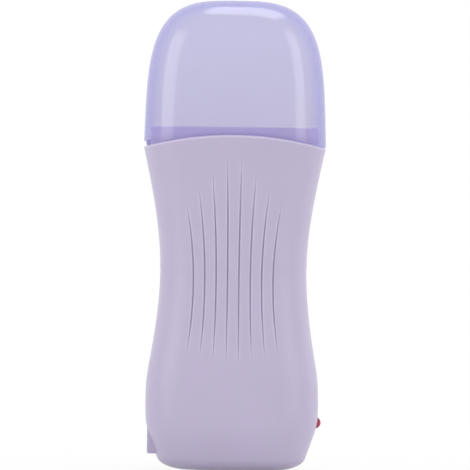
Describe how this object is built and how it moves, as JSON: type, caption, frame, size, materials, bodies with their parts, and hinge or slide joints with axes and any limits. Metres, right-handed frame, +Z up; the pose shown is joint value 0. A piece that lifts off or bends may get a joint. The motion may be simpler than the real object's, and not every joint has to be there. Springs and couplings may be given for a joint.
{
  "type": "roll-on wax heater",
  "caption": "Hand-held cartridge heater for roll-on wax: waisted two-shell body with grip grooves, lamp, side mains inlet, heated bay and clear lift-off cap.",
  "frame": {"origin": "middle of the flat base that the heater stands on", "axes": "+Z up to the roller end, -Y out of the grooved front, +X to the lamp's side, -X to the mains inlet"},
  "size_m": [0.0758, 0.0546, 0.195],
  "materials": {
    "clear_cap": "clear, lightly tinted, polished",
    "lilac_plastic": "satin",
    "ivory_plastic": "satin",
    "aluminium": "satin",
    "heater_ceramic": "matte",
    "brass": "satin",
    "film": "gloss",
    "steel": "satin",
    "fuse_case": "satin",
    "clear_lens": "clear, polished",
    "black_plastic": "satin",
    "pin_metal": "polished",
    "red_lamp": "clear red, polished",
    "board": "satin",
    "part_case": "gloss",
    "live_insulation": "satin",
    "neutral_insulation": "satin",
    "lamp_insulation": "satin"
  },
  "bodies": {
    "casing": {"front_shell": "lilac_plastic", "rear_shell": "lilac_plastic", "neck_ring": "lilac_plastic", "chamber_sleeve": "ivory_plastic", "heating_plate": "aluminium", "ptc_stones": "heater_ceramic", "inner_electrode": "brass", "outer_electrode": "brass", "insulating_film": "film", "heater_clamp": "steel", "clamp_screws": "steel", "thermal_fuse": "fuse_case", "spring_rivets": "brass", "window_lens": "clear_lens", "inlet_body": "black_plastic", "inlet_pins": "pin_metal", "pin_terminals": "brass", "led_lamp": "red_lamp", "led_holder": "ivory_plastic", "led_board": "board", "led_resistor": "part_case", "led_diode": "black_plastic", "live_wire": "live_insulation", "neutral_wire": "neutral_insulation", "led_wires": "lamp_insulation", "casing_screws": "steel"},
    "cap": {"cap": "clear_cap"},
    "spring_left": {"leaf_spring_left": "steel"},
    "spring_right": {"leaf_spring_right": "steel"}
  },
  "joints": [
    {"name": "cap_lift", "type": "slide", "parent": "casing", "child": "cap", "axis": [0, 0, 1], "range_m": [0, 0.06]},
    {"name": "spring_left_flex", "type": "hinge", "parent": "casing", "child": "spring_left", "pos_m": [-0.01, 0.02142, 0.06], "axis": [-1, 0, 0], "range_deg": [0, 3], "stiffness_Nm_per_rad": 1.4},
    {"name": "spring_right_flex", "type": "hinge", "parent": "casing", "child": "spring_right", "pos_m": [0.01, 0.02142, 0.06], "axis": [-1, 0, 0], "range_deg": [0, 3], "stiffness_Nm_per_rad": 1.4}
  ]
}
